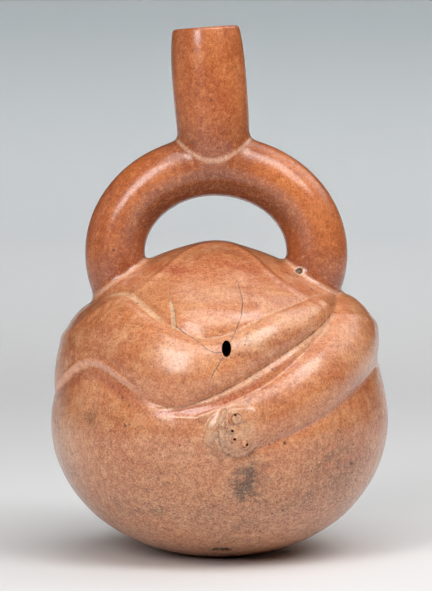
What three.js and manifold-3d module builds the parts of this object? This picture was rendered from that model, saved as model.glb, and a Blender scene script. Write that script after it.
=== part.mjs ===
// Stirrup spout vessel: a moulded earthenware bottle, hollow, in one fired piece.
//
// A round bowl carries a fat coil, like a coiled serpent, in low relief. The coil starts at its head on
// the front, where four clay pellets sit on a thin pad. It climbs to the right, goes round the back, dips
// again on the front and tapers off under the right leg of the stirrup. A crown closes the top. The
// stirrup is a bent tube that opens into the body at both feet, and one spout rises from its top.
//
// Millimetres, +Z up, the front faces -Y. The origin is the middle of the flat resting spot.

import * as THREE from 'three';
import { mergeVertices } from 'three/addons/utils/BufferGeometryUtils.js';
import Module from 'manifold-3d';

const wasm = await Module();
wasm.setup();

const DEG = Math.PI / 180;

// ---------------------------------------------------------------------------------- driving dimensions

const BODY_WALL = 5; // thickness of the moulded body

const BELLY_HEIGHT = 57; // floor to the widest level; the body is measured by rays from this centre
const BELLY_RADIUS = 72.3;
const BOWL_DEPTH = 58.2; // half-height of the bowl before the floor cuts its flat spot
const BOWL_POWER = 2.08; // 2 would be an ellipse; a little more fills out the lower curve

const STIRRUP_X = -1.5; // the stirrup stands a little left of the body's axis
const STIRRUP_Z = 128; // level where the arch is widest
const ARCH_HALF_SPAN = 43; // of the tube's centreline
const ARCH_RISE = 37.4;
const ARCH_TUCK = 24 * DEG; // how far the arch curls in below its widest level
const LEG_DEPTH = 14; // straight run of each leg, into the body
const TUBE_RADIUS = 12.8;
const TUBE_WALL = 4;

const SPOUT_LEAN = -4.2 * DEG; // the spout leans to the left
const SPOUT_LENGTH = 58.9; // from the arch's centreline to the rim
const SPOUT_WALL = 4;
const SPOUT_X = STIRRUP_X - 0.2;

const VENT_WIDTH = 3.9; // the small oval hole in the front of the coil
const VENT_HEIGHT = 6.7;
const VENT_PLACE = { turn: 2.3, lift: 28 };

// ------------------------------------------------------------------------------------- small arithmetic

const clamp = (x, low, high) => Math.min(high, Math.max(low, x));
const ease = (x) => clamp(x, 0, 1) ** 2 * (3 - 2 * clamp(x, 0, 1));
const swell = (x, middle, halfWidth) => Math.exp(-(((x - middle) / halfWidth) ** 2));

// A smooth curve through [place, value, value, ...] stations, as Hermite spans with averaged slopes.
function through(stations, x, column) {
  const last = stations.length - 1;
  const at = clamp(x, stations[0][0], stations[last][0]);
  let i = 0;
  while (i < last - 1 && at > stations[i + 1][0]) i += 1;
  const slope = (a, b) => (stations[b][column] - stations[a][column]) / (stations[b][0] - stations[a][0]);
  const [x0, y0] = [stations[i][0], stations[i][column]];
  const [x1, y1] = [stations[i + 1][0], stations[i + 1][column]];
  const run = x1 - x0;
  const m0 = slope(Math.max(i - 1, 0), i + 1) * run;
  const m1 = slope(i, Math.min(i + 2, last)) * run;
  const t = (at - x0) / run;
  const blend = 3 * t ** 2 - 2 * t ** 3;
  return y0 + (y1 - y0) * blend + m0 * (t - 2 * t ** 2 + t ** 3) + m1 * (t ** 3 - t ** 2);
}

// ------------------------------------------------------------------------------------- the moulded body
//
// Every point of the body is given by a ray from the centre: its turn, in degrees to the right of the
// front, its lift, in degrees above level, and its length.

// The crown above the belly, under the coil: [lift, ray length].
const CROWN = [
  [0, BELLY_RADIUS],
  [15, 71.4],
  [30, 73.2],
  [45, 74.0],
  [58, 73.2],
  [70, 74.2],
  [90, 76.2],
];
const CROWN_SHIFT = -2.3; // the crown's top sits left of the body's axis

// The coil, as [turn, lift of its lower edge, lift of its upper edge, rise of its crest, crease depth,
// softness of its lower edge]. Turns past 360 are its second time round, above its head.
const COIL = [
  [0, -8, 11, 1.5, 0.3, 1.0],
  [6, -6, 12.6, 1.9, 0.6, 1.0],
  [17, -1.5, 18, 3.0, 1.0, 1.0],
  [36, 6, 29.2, 4.4, 1.0, 1.0],
  [57, 14.5, 39.5, 5.0, 0.9, 1.2],
  [80, 20, 46.5, 5.3, 0.3, 1.7],
  [100, 19.5, 47, 5.0, 0.1, 1.9],
  [180, 18, 46, 4.2, 0.4, 1.3],
  [272, 9.5, 42.5, 2.7, 0.1, 1.0],
  [309, 22.6, 48.5, 3.6, 1.1, 0.7],
  [343, 10, 35.7, 4.4, 1.3, 0.75],
  [358, 14.3, 32.8, 4.2, 1.2, 0.75],
  [385, 28, 42.3, 3.2, 1.0, 0.75],
  [412, 39, 48.3, 1.6, 0.6, 0.9],
  [428, 44.5, 49.8, 0.3, 0.1, 1.0],
];
const HEAD_TURN = COIL[0][0];
const TAIL_TURN = COIL[COIL.length - 1][0];
const HEAD_LENGTH = 5; // degrees of turn in which the head's end rounds off
const CREASE_REACH = 3; // how far from a crease the surface starts to sink
const UPPER_SOFTNESS = 0.75; // of the coil's upper edge, all the way round

// The clay pad of the head, and the pellets on it: [turn, lift, radius, how far they stand out].
const PAD = { turn: 6.8, lift: 3.2, halfWidth: 5.4, halfHeight: 7.6, height: 0.8 };
const PELLETS = [
  [5.3, 6.3, 3.0, 1.4],
  [3.9, 2.7, 1.7, 0.8],
  [4.6, 0.2, 1.6, 0.7],
  [7.7, -1.3, 2.3, 1.1],
];

const LIP = { from: 272, to: 338, height: 1.5, halfWidth: 2.8 }; // raised edge under the coil, on the left
const BROW = { turn: -2, lift: 41, turnWidth: 34, liftWidth: 11, height: 2.2 }; // the crown's front

function bowlRay(lift) {
  const across = Math.cos(lift * DEG) / BELLY_RADIUS;
  const down = Math.abs(Math.sin(lift * DEG)) / BOWL_DEPTH;
  const free = (across ** BOWL_POWER + down ** BOWL_POWER) ** (-1 / BOWL_POWER);
  return Math.min(free, BELLY_HEIGHT / Math.max(Math.sin(-lift * DEG), 0.01));
}

const FLAT_RADIUS =
  BELLY_RADIUS * (1 - (BELLY_HEIGHT / BOWL_DEPTH) ** BOWL_POWER) ** (1 / BOWL_POWER);
const FLAT_LIFT = -Math.atan(BELLY_HEIGHT / FLAT_RADIUS) / DEG; // the edge of the flat spot

// One pass of the coil: how far it stands over the plain body, and how far its edges sink into it.
function coilPass(turn, lift) {
  if (turn < HEAD_TURN - HEAD_LENGTH || turn > TAIL_TURN) return { rise: 0, sink: 0 };
  const fromHead = clamp((turn - HEAD_TURN + HEAD_LENGTH) / HEAD_LENGTH / 2, 0, 1);
  const rounding = Math.sqrt(1 - (1 - fromHead) ** 2);
  const low = through(COIL, turn, 1);
  const high = through(COIL, turn, 2);
  const half = ((high - low) / 2) * Math.max(rounding, 0.05);
  const signed = (lift - (low + high) / 2) / half;
  const across = Math.abs(signed);
  const softness = signed < 0 ? through(COIL, turn, 5) : UPPER_SOFTNESS;
  const crest = across < 1 ? through(COIL, turn, 3) * rounding * (1 - across ** 2.2) ** softness : 0;
  const onLip = swell((lift - low) * DEG * BELLY_RADIUS, 0.8, LIP.halfWidth);
  const lipPart = ease((turn - LIP.from) / 18) * ease((LIP.to - turn) / 18);
  const fromEdge = Math.abs(across - 1) * half * DEG * BELLY_RADIUS;
  const sink = through(COIL, turn, 4) * rounding * Math.exp(-fromEdge / CREASE_REACH);
  return { rise: crest + LIP.height * onLip * lipPart, sink };
}

function padRise(fromFront, lift) {
  const out = ((fromFront - PAD.turn) / PAD.halfWidth) ** 4 + ((lift - PAD.lift) / PAD.halfHeight) ** 4;
  return PAD.height * ease((1 - out) / 0.5);
}

function outerRay(turn, lift) {
  const plain = lift < 0 ? bowlRay(lift) : through(CROWN, lift, 1);
  if (lift < -20) return plain;
  const round = ((turn % 360) + 360) % 360;
  const passes = [round - 360, round, round + 360].map((t) => coilPass(t, lift));
  const relief = Math.max(...passes.map((p) => p.rise)) - Math.max(...passes.map((p) => p.sink));
  const fromFront = round > 180 ? round - 360 : round;
  const brow = BROW.height * swell(fromFront, BROW.turn, BROW.turnWidth)
    * swell(lift, BROW.lift, BROW.liftWidth);
  const shift = CROWN_SHIFT * Math.cos(lift * DEG) * Math.sin(turn * DEG) * ease((lift - 42) / 14);
  return plain + relief + brow + shift + padRise(fromFront, lift);
}

// A closed shell round the centre: a ray length for each turn and lift, with a pole at each end.
function shell(turns, lifts, ray) {
  const point = (turn, lift) => {
    const r = ray(turn, lift);
    const level = r * Math.cos(lift * DEG);
    const z = BELLY_HEIGHT + r * Math.sin(lift * DEG);
    return [level * Math.sin(turn * DEG), -level * Math.cos(turn * DEG), z];
  };
  const rings = lifts.slice(1, -1).map((lift) => turns.map((turn) => point(turn, lift)));
  const positions = [point(0, lifts[0]), ...rings.flat(), point(0, lifts[lifts.length - 1])];
  const n = turns.length;
  const top = positions.length - 1;
  const at = (ring, i) => 1 + ring * n + (i % n);
  const index = [];
  for (let i = 0; i < n; i += 1) {
    index.push(0, at(0, i + 1), at(0, i));
    for (let ring = 0; ring < rings.length - 1; ring += 1) {
      index.push(at(ring, i), at(ring, i + 1), at(ring + 1, i + 1));
      index.push(at(ring, i), at(ring + 1, i + 1), at(ring + 1, i));
    }
    index.push(top, at(rings.length - 1, i), at(rings.length - 1, i + 1));
  }
  const geometry = new THREE.BufferGeometry();
  geometry.setAttribute('position', new THREE.Float32BufferAttribute(positions.flat(), 3));
  return geometry.setIndex(index);
}

const steps = (from, to, count) => Array.from({ length: count }, (_, i) => from + ((to - from) * i) / count);

const FINE_TURNS = [...steps(-105, 105, 56), ...steps(105, 255, 16)]; // closer together on the front
const FINE_LIFTS = [-90, FLAT_LIFT, ...steps(-64, -8, 7), ...steps(-8, 52, 21), ...steps(52, 90, 6), 90];
const COARSE_TURNS = steps(0, 360, 36);
const COARSE_LIFTS = [...steps(-90, 90, 18), 90];

// --------------------------------------------------------------------------------- stirrup and spout

// Half of an oval arch that curls in at both feet, with a straight leg at each end.
class StirrupPath extends THREE.Curve {
  constructor(legLength) {
    super();
    this.legLength = legLength;
  }

  archPoint(angle) {
    const x = STIRRUP_X - ARCH_HALF_SPAN * Math.cos(angle);
    return new THREE.Vector3(x, 0, STIRRUP_Z + ARCH_RISE * Math.sin(angle));
  }

  getPoint(t) {
    const legShare = 0.1;
    const sweep = Math.PI + 2 * ARCH_TUCK;
    const along = clamp((t - legShare) / (1 - 2 * legShare), 0, 1);
    const angle = -ARCH_TUCK + sweep * along;
    const point = this.archPoint(angle);
    const outward = t < 0.5 ? -1 : 1;
    const overrun = Math.max(legShare - t, t - 1 + legShare, 0) / legShare;
    const tangent = new THREE.Vector3(
      ARCH_HALF_SPAN * Math.sin(angle), 0, ARCH_RISE * Math.cos(angle),
    ).normalize();
    return point.addScaledVector(tangent, outward * overrun * this.legLength);
  }
}

function tube(radius, sides, legLength) {
  const ring = new THREE.Shape(steps(0, 2 * Math.PI, sides).map(
    (a) => new THREE.Vector2(radius * Math.cos(a), radius * Math.sin(a)),
  ));
  return new THREE.ExtrudeGeometry(ring, {
    steps: 30,
    bevelEnabled: false,
    extrudePath: new StirrupPath(legLength),
  });
}

// The spout's outside, as [radius, height over the arch's centreline].
const SPOUT_OUTSIDE = [
  [8.5, -5],
  [11.0, 0],
  [13.1, 3.2],
  [14.6, 6.5],
  [15.2, 11],
  [15.6, 22],
  [15.9, 34],
  [15.7, 44],
  [15.1, 52],
  [14.3, 56.9],
  [13.4, SPOUT_LENGTH],
];

// The bore is one wall inside, wider at the lip.
const SPOUT_BORE = SPOUT_OUTSIDE.filter(([, h]) => h >= 0 && h <= 52)
  .map(([r, h]) => [r - SPOUT_WALL + ease(-h / 4 + 1), h])
  .concat([[10.8, 56.5], [11.5, SPOUT_LENGTH + 0.5]]);

function lathe(profile, sides) {
  const [bottom, top] = [profile[0][1], profile[profile.length - 1][1]];
  const points = [[0, bottom], ...profile, [0, top]].map(([r, h]) => new THREE.Vector2(r, h));
  const geometry = new THREE.LatheGeometry(points, sides);
  geometry.rotateX(Math.PI / 2); // the lathe turns about Y; the spout stands along Z
  geometry.rotateY(SPOUT_LEAN);
  return geometry.translate(SPOUT_X, 0, STIRRUP_Z + ARCH_RISE);
}

// ------------------------------------------------------------------------------------ joining and cutting

function solid(geometry) {
  const bare = geometry.clone();
  bare.deleteAttribute('normal');
  bare.deleteAttribute('uv');
  const merged = mergeVertices(bare, 1e-4);
  return new wasm.Manifold(new wasm.Mesh({
    numProp: 3,
    vertProperties: merged.attributes.position.array,
    triVerts: new Uint32Array(merged.index.array),
  }));
}

// The unit vector of a ray.
function rayAt(turn, lift) {
  const level = Math.cos(lift * DEG);
  return new THREE.Vector3(
    level * Math.sin(turn * DEG), -level * Math.cos(turn * DEG), Math.sin(lift * DEG),
  );
}

// The point of the body's outside at a turn and lift.
function surfacePoint(turn, lift) {
  return rayAt(turn, lift).multiplyScalar(outerRay(turn, lift)).add(new THREE.Vector3(0, 0, BELLY_HEIGHT));
}

// A solid placed on the body's outside, with its own +Y along the ray.
function onBody(geometry, turn, lift) {
  const turned = new THREE.Quaternion().setFromUnitVectors(new THREE.Vector3(0, 1, 0), rayAt(turn, lift));
  return geometry.applyQuaternion(turned).translate(...surfacePoint(turn, lift));
}

function pellet([turn, lift, radius, height]) {
  const disc = new THREE.CylinderGeometry(0.9 * radius, radius, height + BODY_WALL / 2, 14);
  return onBody(disc.translate(0, height / 2 - BODY_WALL / 4, 0), turn, lift);
}

// The vent runs level, straight in from the front.
function vent() {
  const hole = new THREE.CylinderGeometry(0.5, 0.5, 4 * BODY_WALL, 16).scale(VENT_WIDTH, 1, VENT_HEIGHT);
  return hole.translate(...surfacePoint(VENT_PLACE.turn, VENT_PLACE.lift));
}

function baseChip() {
  return onBody(new THREE.SphereGeometry(1, 12, 8).scale(4.3, 3.8, 3.4), 1.4, -54.2);
}

function vesselGeometry() {
  const outside = solid(shell(FINE_TURNS, FINE_LIFTS, outerRay))
    .add(solid(tube(TUBE_RADIUS, 18, LEG_DEPTH)))
    .add(solid(lathe(SPOUT_OUTSIDE, 24)));
  const withHead = PELLETS.reduce((whole, values) => whole.add(solid(pellet(values))), outside);
  const innerRay = (turn, lift) => outerRay(turn, lift) - BODY_WALL;
  const hollow = solid(shell(COARSE_TURNS, COARSE_LIFTS, innerRay))
    .add(solid(tube(TUBE_RADIUS - TUBE_WALL, 12, LEG_DEPTH)))
    .add(solid(lathe(SPOUT_BORE, 16)))
    .add(solid(vent()));
  const vessel = withHead.subtract(hollow).subtract(solid(baseChip()));
  const mesh = vessel.getMesh();
  const geometry = new THREE.BufferGeometry();
  geometry.setAttribute('position', new THREE.BufferAttribute(mesh.vertProperties, 3));
  geometry.setIndex(new THREE.BufferAttribute(mesh.triVerts, 1));
  geometry.computeVertexNormals();
  return geometry;
}

const earthenware = new THREE.MeshStandardMaterial({ color: 0xb8714a, roughness: 0.5, metalness: 0 });

const vessel = new THREE.Mesh(vesselGeometry(), earthenware);
vessel.name = 'vessel';

const group = new THREE.Group();
group.add(vessel);

export default group;
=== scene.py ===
# %% [markdown]
# # A stirrup spout vessel
#
# The real object is a hollow bottle of fired clay, about a span and a half tall. Its body was pressed in
# a mould, with a fat coil in low relief, like a coiled serpent, and a small head of clay pellets on the
# front. The stirrup is a tube rolled round a stick, bent while damp and luted on at both feet, and the
# spout is a shorter tube luted on top. Before the firing it was coated with a thin red slip and rubbed
# with a pebble, which gives the soft gloss. Long burial left pale lime in the creases.
#
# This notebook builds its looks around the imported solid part. Everything is in metres, in the part's own
# frame: +Z is up, the front faces -Y, and the origin is the middle of the resting spot.

import bpy
import numpy as np
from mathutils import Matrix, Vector


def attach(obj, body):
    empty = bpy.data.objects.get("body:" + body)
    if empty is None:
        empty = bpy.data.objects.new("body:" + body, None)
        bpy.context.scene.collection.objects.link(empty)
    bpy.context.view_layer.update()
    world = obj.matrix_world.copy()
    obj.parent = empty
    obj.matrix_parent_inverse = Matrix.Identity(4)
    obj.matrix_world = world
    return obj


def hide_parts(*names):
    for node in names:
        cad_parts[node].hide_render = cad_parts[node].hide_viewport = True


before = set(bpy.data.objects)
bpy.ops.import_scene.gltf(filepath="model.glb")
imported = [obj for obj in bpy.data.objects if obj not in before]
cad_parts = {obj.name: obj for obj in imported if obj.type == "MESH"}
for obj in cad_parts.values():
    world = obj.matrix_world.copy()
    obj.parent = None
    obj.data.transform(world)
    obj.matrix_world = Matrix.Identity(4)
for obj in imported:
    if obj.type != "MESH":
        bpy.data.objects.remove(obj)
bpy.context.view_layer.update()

# %% [markdown]
# ## The body as a function
#
# A moulded body has no flat sides and hardly any level rings, so it isn't turned on a lathe here. Every
# point of it can be seen from one place in the middle of the belly, so the whole surface is one number,
# the length of a ray, for each direction. A direction is a *turn*, in degrees to the right of the front,
# and a *lift*, in degrees above level. A coil, a crease or a pellet is then a small term added to that
# length, and the terms can be tried one by one. Lengths are in millimetres until the mesh is made.

# %% Sizes of the body, in millimetres and degrees
BELLY_HEIGHT = 57.0
BELLY_RADIUS = 71.8
BOWL_DEPTH = 58.2
BOWL_POWER = 2.08
BODY_WALL = 5.0
ARC = np.pi / 180 * BELLY_RADIUS  # millimetres along the body for each degree

CROWN = [(0, BELLY_RADIUS), (15, 71.4), (30, 73.2), (45, 74.0), (58, 73.2), (70, 74.2), (90, 76.2)]
CROWN_SHIFT = -2.3


# %% Three small curves that the surfaces are made of
def ease(x):
    """A smooth step from 0 to 1: 3x^2 - 2x^3 between x = 0 and x = 1."""
    x = np.clip(x, 0, 1)
    return x * x * (3 - 2 * x)


def swell(x, middle, half_width):
    """A bell: e to the power of minus the square of (x - middle) / half_width."""
    return np.exp(-(((x - middle) / half_width) ** 2))


def through(stations, x, column=1):
    """A smooth curve through the stations, by cubic Hermite spans.

    The slope at a station is that of the line between its two neighbours.
    """
    table = np.asarray(stations, float)
    place, value = table[:, 0], table[:, column]
    slope = np.empty(len(place))
    slope[1:-1] = (value[2:] - value[:-2]) / (place[2:] - place[:-2])
    slope[0] = (value[1] - value[0]) / (place[1] - place[0])
    slope[-1] = (value[-1] - value[-2]) / (place[-1] - place[-2])
    x = np.clip(x, place[0], place[-1])
    i = np.clip(np.searchsorted(place, x, side="right") - 1, 0, len(place) - 2)
    run = place[i + 1] - place[i]
    t = (x - place[i]) / run
    level = value[i] + (value[i + 1] - value[i]) * ease(t)
    return level + run * (slope[i] * (t - 2 * t**2 + t**3) + slope[i + 1] * (t**3 - t**2))


# %% The plain bowl and crown
def bowl_ray(lift):
    """Length of the ray below the belly.

    The bowl is a superellipse: (across / radius)^p + (down / depth)^p = 1, cut flat at the floor.
    """
    lift = np.radians(lift)
    across = np.cos(lift) / BELLY_RADIUS
    down = np.abs(np.sin(lift)) / BOWL_DEPTH
    free = (across**BOWL_POWER + down**BOWL_POWER) ** (-1 / BOWL_POWER)
    to_floor = BELLY_HEIGHT / np.maximum(np.sin(-lift), 0.01)
    return np.minimum(free, to_floor)


def plain_ray(lift):
    """The bowl below the belly and a smooth crown curve above it."""
    return np.where(lift < 0, bowl_ray(np.minimum(lift, 0)), through(CROWN, lift))


print("belly", bowl_ray(np.array(0.0)), "crown's top", plain_ray(np.array(90.0)))

# %% [markdown]
# ## The coil
#
# The coil goes a little more than once round the body. It is described like a road: at each turn it has
# a lower edge, an upper edge and a crest, and past 360 degrees it runs above its own head. Each edge is
# pressed a little into the body, and that makes the crease.

# %% Stations of the coil: turn, lower edge, upper edge, crest, crease depth, softness of the lower edge
COIL = [
    (0, -8, 11, 1.5, 0.3, 1.0),
    (6, -6, 12.6, 1.9, 0.6, 1.0),
    (17, -1.5, 18, 3.0, 1.0, 1.0),
    (36, 6, 29.2, 4.4, 1.0, 1.0),
    (57, 14.5, 39.5, 5.0, 0.9, 1.2),
    (80, 20, 46.5, 5.3, 0.3, 1.7),
    (100, 19.5, 47, 5.0, 0.1, 1.9),
    (180, 18, 46, 4.2, 0.4, 1.3),
    (272, 9.5, 42.5, 2.7, 0.1, 1.0),
    (309, 22.6, 48.5, 3.6, 1.1, 0.7),
    (343, 10, 35.7, 4.4, 1.3, 0.75),
    (358, 14.3, 32.8, 4.2, 1.2, 0.75),
    (385, 28, 42.3, 3.2, 1.0, 0.75),
    (412, 39, 48.3, 1.6, 0.6, 0.9),
    (428, 44.5, 49.8, 0.3, 0.1, 1.0),
]
HEAD_TURN, TAIL_TURN = COIL[0][0], COIL[-1][0]
HEAD_LENGTH = 5.0  # degrees of turn in which the head's end rounds off
CREASE_REACH = 2.6
CREST_POWER = 2.2
UPPER_SOFTNESS = 0.75
LIP = {"height": 1.7, "up": 0.5, "width": 1.5, "from": 272, "to": 338}
LIP_HOLLOW = {"depth": 1.1, "down": 4.2, "width": 2.4, "from": 306, "to": 338}
BROW = {"turn": -2, "lift": 41, "turn_width": 34, "lift_width": 11, "height": 2.2}


def between(x, start, stop, soft):
    """1 between start and stop, easing to 0 over the soft length inside each end."""
    return ease((x - start) / soft) * ease((stop - x) / soft)


def edge_distance(turn, lift, column):
    """Millimetres from an edge of the coil, above it positive.

    It is the difference in lift over the root of 1 + slope^2, so that it is square to the edge.
    """
    edge = through(COIL, turn, column)
    steep = (through(COIL, turn + 0.5, column) - through(COIL, turn - 0.5, column)) / np.cos(np.radians(edge))
    return (lift - edge) * ARC / np.sqrt(1 + steep**2)


def lip(turn, lift):
    """The ridge where the coil's edge was pinched up, left of the front, and the hollow wiped under it."""
    from_edge = edge_distance(turn, lift, 1)
    ridge = LIP["height"] * swell(from_edge, LIP["up"], LIP["width"])
    hollow = LIP_HOLLOW["depth"] * swell(from_edge, -LIP_HOLLOW["down"], LIP_HOLLOW["width"])
    ridge = ridge * between(turn, LIP["from"], LIP["to"], 18)
    return ridge - hollow * between(turn, LIP_HOLLOW["from"], LIP_HOLLOW["to"], 12)


def coil_pass(turn, lift):
    """One pass of the coil: its rise over the plain body, and the sinking at its edges.

    Across the coil, from -1 at the lower edge to 1 at the upper, the rise is crest * (1 - |x|^2.2)^s,
    with s the softness of the edge. The sinking dies away from the edge as e^(-distance / reach).
    """
    there = (turn >= HEAD_TURN - HEAD_LENGTH) & (turn <= TAIL_TURN)
    from_head = np.clip((turn - HEAD_TURN + HEAD_LENGTH) / HEAD_LENGTH / 2, 0, 1)
    rounding = np.sqrt(1 - (1 - from_head) ** 2)
    low, high = through(COIL, turn, 1), through(COIL, turn, 2)
    half = (high - low) / 2 * np.maximum(rounding, 0.05)
    signed = (lift - (low + high) / 2) / half
    across = np.abs(signed)
    softness = np.where(signed < 0, through(COIL, turn, 5), UPPER_SOFTNESS)
    crest = through(COIL, turn, 3) * rounding * np.clip(1 - across**CREST_POWER, 0, 1) ** softness
    from_edge = np.abs(across - 1) * half * ARC
    sink = through(COIL, turn, 4) * rounding * np.exp(-from_edge / CREASE_REACH)
    return there * (crest + lip(turn, lift)), there * sink


def relief(turn, lift):
    """The highest pass of the coil, less the deepest crease, plus the swelling of the crown's front."""
    around = np.mod(turn, 360)
    passes = [coil_pass(around + shift, lift) for shift in (-360, 0, 360)]
    rise = np.maximum.reduce([p[0] for p in passes])
    sink = np.maximum.reduce([p[1] for p in passes])
    from_front = np.where(around > 180, around - 360, around)
    brow = BROW["height"] * swell(from_front, BROW["turn"], BROW["turn_width"])
    brow = brow * swell(lift, BROW["lift"], BROW["lift_width"])
    lean = np.cos(np.radians(lift)) * np.sin(np.radians(turn)) * ease((lift - 42) / 14)
    return (rise - sink) * (lift > -30) + brow * (lift > 0) + CROWN_SHIFT * lean


# %% [markdown]
# ## Small forms drawn with lines
#
# Over the head the clay was wiped into a shallow red band between two thin ridges, and the head itself is
# a thin pad of clay laid on the end of the coil. The band and the edge of the face follow short lines,
# each given by a few places in turn and lift. The finish is painted along the same lines.


# %% Distance to a line, and the small forms
def line_distance(turn, lift, line):
    """Signed distance to a line of straight runs, in millimetres, above a line that runs right positive.

    For each run: along it by projection, square to it by the cross product. The nearest run counts.
    """
    turn, lift = np.broadcast_arrays(turn, lift)
    scale = ARC * np.array([np.cos(np.radians(np.mean([place[1] for place in line]))), 1.0])
    here = np.stack([turn, lift], -1) * scale
    nearest, signed = np.full(turn.shape, 1e9), np.full(turn.shape, 1e9)
    for start, stop in zip(line[:-1], line[1:]):
        start, stop = np.array(start) * scale, np.array(stop) * scale
        run = stop - start
        share = np.clip((here - start) @ run / (run @ run), 0, 1)
        off = here - start - share[..., None] * run
        gap = np.linalg.norm(off, axis=-1)
        side = np.sign(run[0] * off[..., 1] - run[1] * off[..., 0])
        signed = np.where(gap < nearest, gap * side, signed)
        nearest = np.minimum(nearest, gap)
    return signed


BAND_TOP = [
    (-24, 8.6), (-14, 9.9), (-3, 12.5), (7, 16.7), (15, 20.4), (22, 24.5), (31, 27.8), (46, 32.7),
    (57, 38.5),
]
BAND_FOOT = [(-17, 7.2), (-8, 6.8), (1, 10.1), (10, 13.9), (17, 18.2)]
FACE_EDGE = [(2.0, 8.7), (0.7, 6.2), (0.1, 2.4), (0.4, -1.7), (2.3, -4.7), (6, -6), (10, -4.4), (11.8, -2.3)]
PAD = {"turn": 6.8, "lift": 3.2, "half_width": 5.4, "half_height": 7.6, "height": 0.8}
RIDGE_HEIGHT, RIDGE_WIDTH, BAND_DEPTH = 0.32, 0.8, 0.45


def details(turn, lift):
    """Ridges at the band's two edges, the shallow band between them, and the pad of the head.

    The pad is 1 - x^4 - y^4 with a soft edge, and has a low rim with a groove outside it.
    """
    front = np.mod(turn + 180, 360) - 180
    top, foot = line_distance(front, lift, BAND_TOP), line_distance(front, lift, BAND_FOOT)
    ridges = RIDGE_HEIGHT * swell(top, 0, RIDGE_WIDTH) * between(front, -24, 20, 6)
    ridges = ridges + RIDGE_HEIGHT * swell(foot, 0, RIDGE_WIDTH) * between(front, -17, 19, 5)
    band = BAND_DEPTH * ease(-top / 1.2) * ease(foot / 1.2) * between(front, -18, 16, 6)
    out = ((front - PAD["turn"]) / PAD["half_width"]) ** 4 + ((lift - PAD["lift"]) / PAD["half_height"]) ** 4
    pad = PAD["height"] * ease((1 - out) / 0.5) * ease((15 - front) / 9)
    edge = line_distance(front, lift, FACE_EDGE)
    rim = (0.22 * swell(edge, 0.7, 0.6) - 0.35 * swell(edge, -0.8, 0.7)) * between(front, -1.5, 12.5, 2)
    return ridges - band + pad + rim


# %% [markdown]
# ## The hand in the clay
#
# A mould-made body is never true. Thumbs pressed the clay into the mould, the two halves were wiped
# together, and a pebble went over it all. Slow waves a few tenths of a millimetre high do more for the
# way light runs over it than any texture. They are sums of sines, so they are the same on every run.


# %% Slow unevenness
def unevenness(points, size, seed, count=14):
    """A smooth random height in space: a mean of sines, each along its own direction.

    Each wave is sin(direction . point * 2 pi / size + phase).
    """
    random = np.random.default_rng(seed)
    direction = random.normal(size=(count, 3))
    direction /= np.linalg.norm(direction, axis=1)[:, None]
    stretch = random.uniform(0.7, 1.4, count)
    phase = random.uniform(0, 2 * np.pi, count)
    angle = points @ (direction * stretch[:, None]).T * (2 * np.pi / size) + phase
    return np.sin(angle).mean(axis=-1) * np.sqrt(2)


def direction_of(turn, lift):
    """Unit vector of a ray: (cos lift sin turn, -cos lift cos turn, sin lift)."""
    turn, lift = np.broadcast_arrays(np.radians(turn), np.radians(lift))
    return np.stack([np.cos(lift) * np.sin(turn), -np.cos(lift) * np.cos(turn), np.sin(lift)], -1)


def body_ray(turn, lift):
    """The whole outside: plain body, relief, small forms and slow waves that fade out at the floor."""
    place = direction_of(turn, lift) * BELLY_RADIUS
    waves = unevenness(place, 46, 3) * 0.45 + unevenness(place, 15, 5) * 0.16
    return plain_ray(lift) + relief(turn, lift) + details(turn, lift) + waves * ease((lift + 68) / 30)


print("ray at the front", float(body_ray(np.array([0.0]), np.array([20.0]))[0]))


# %% [markdown]
# ## Grids that close
#
# A grid of rays is made into a closed mesh with one point at each pole. The lines lie closer together
# where there is more to show: on the front, and at the height of the coil.


# %% Graded spacing and the closed shell
def graded(start, stop, count, wish):
    """Places between start and stop whose spacing is inverse to the wish: equal steps of its integral."""
    fine = np.linspace(start, stop, 4001)
    weight = wish(fine)
    total = np.concatenate([[0], np.cumsum((weight[1:] + weight[:-1]) / 2)])
    return np.interp(np.linspace(0, total[-1], count), total, fine)


def new_object(name, points, faces):
    """A mesh object from points in millimetres and faces as tuples of point numbers."""
    mesh = bpy.data.meshes.new(name)
    mesh.from_pydata(np.asarray(points) * 0.001, [], faces)
    mesh.update()
    made = bpy.data.objects.new(name, mesh)
    bpy.context.scene.collection.objects.link(made)
    print(name, len(mesh.vertices), "points", len(mesh.polygons), "faces")
    return made


def ring_faces(rings, around, first=0):
    """Quads between neighbouring rings, each ring a closed loop of the same number of points."""
    i = np.arange(around)
    j = np.arange(rings - 1)[:, None] * around + first
    low, low_next = j + i, j + (i + 1) % around
    quads = np.stack([low, low_next, low_next + around, low + around], -1)
    return quads.reshape(-1, 4)


def capped(name, rings, start, end):
    """A closed surface from an array of rings, closed at both ends by a fan round one point."""
    count, around = rings.shape[:2]
    points = np.concatenate([rings.reshape(-1, 3), [start, end]])
    i = np.arange(around)
    last = (count - 1) * around
    first_fan = np.stack([np.full(around, count * around), (i + 1) % around, i], -1)
    last_fan = np.stack([np.full(around, count * around + 1), last + i, last + (i + 1) % around], -1)
    faces = ring_faces(count, around).tolist() + first_fan.tolist() + last_fan.tolist()
    return new_object(name, points, faces)


def shell(name, turns, lifts, ray):
    """The closed surface: centre + ray length * direction, for every turn and lift."""
    centre = np.array([0, 0, BELLY_HEIGHT])

    def at(turn, lift):
        return centre + ray(turn, lift)[..., None] * direction_of(turn, lift)

    rings = at(turns[None, :], lifts[1:-1, None])
    poles = at(np.zeros(2), lifts[[0, -1]])
    return capped(name, rings, poles[0], poles[1])


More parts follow.
